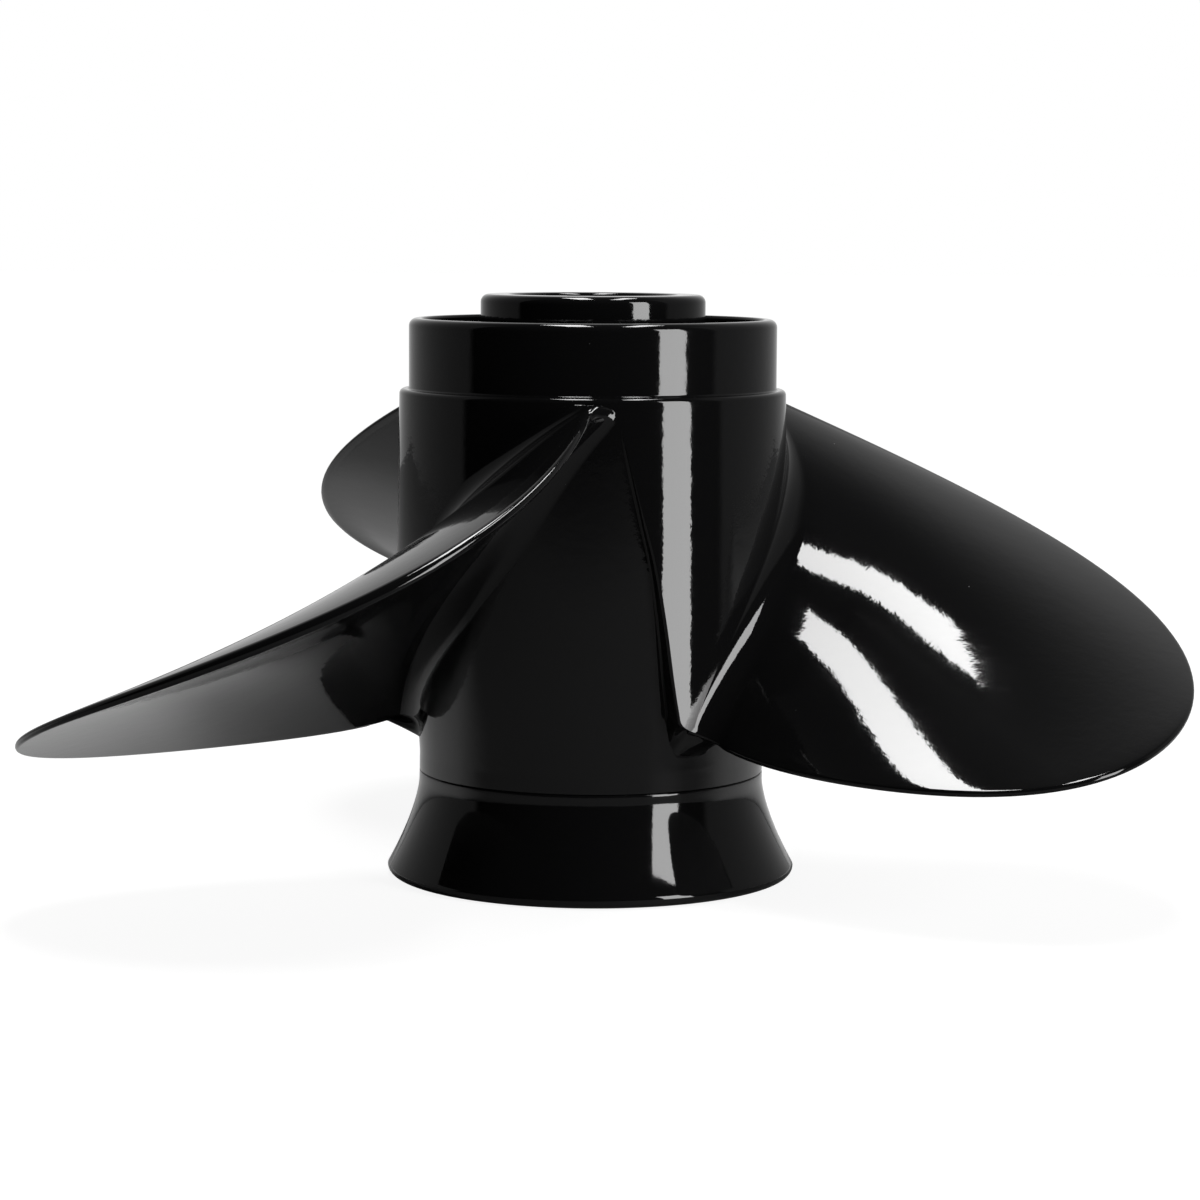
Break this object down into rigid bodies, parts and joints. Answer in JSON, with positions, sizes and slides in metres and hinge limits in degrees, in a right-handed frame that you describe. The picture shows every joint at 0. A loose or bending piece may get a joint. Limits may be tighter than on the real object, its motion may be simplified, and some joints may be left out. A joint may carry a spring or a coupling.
{
  "type": "outboard boat propeller",
  "caption": "Right-hand outboard boat propeller with swept blades, an exhaust passage through its hub, a flared aft ring and a splined rubber-mounted bore.",
  "frame": {"origin": "on the shaft axis, in the plane of the aft lip that the propeller stands on", "axes": "+Z along the shaft axis, forward towards the engine; the first blade's root lies about 13 degrees from +X towards -Y"},
  "size_m": [0.2355, 0.2274, 0.1236],
  "materials": {
    "casting_paint": "gloss",
    "ring_paint": "gloss",
    "bushing_rubber": "matte",
    "sleeve_brass": "satin"
  },
  "bodies": {
    "root": {"propeller_casting": "casting_paint", "diffuser_ring": "ring_paint", "rubber_bushing": "bushing_rubber", "splined_sleeve": "sleeve_brass"}
  },
  "joints": []
}
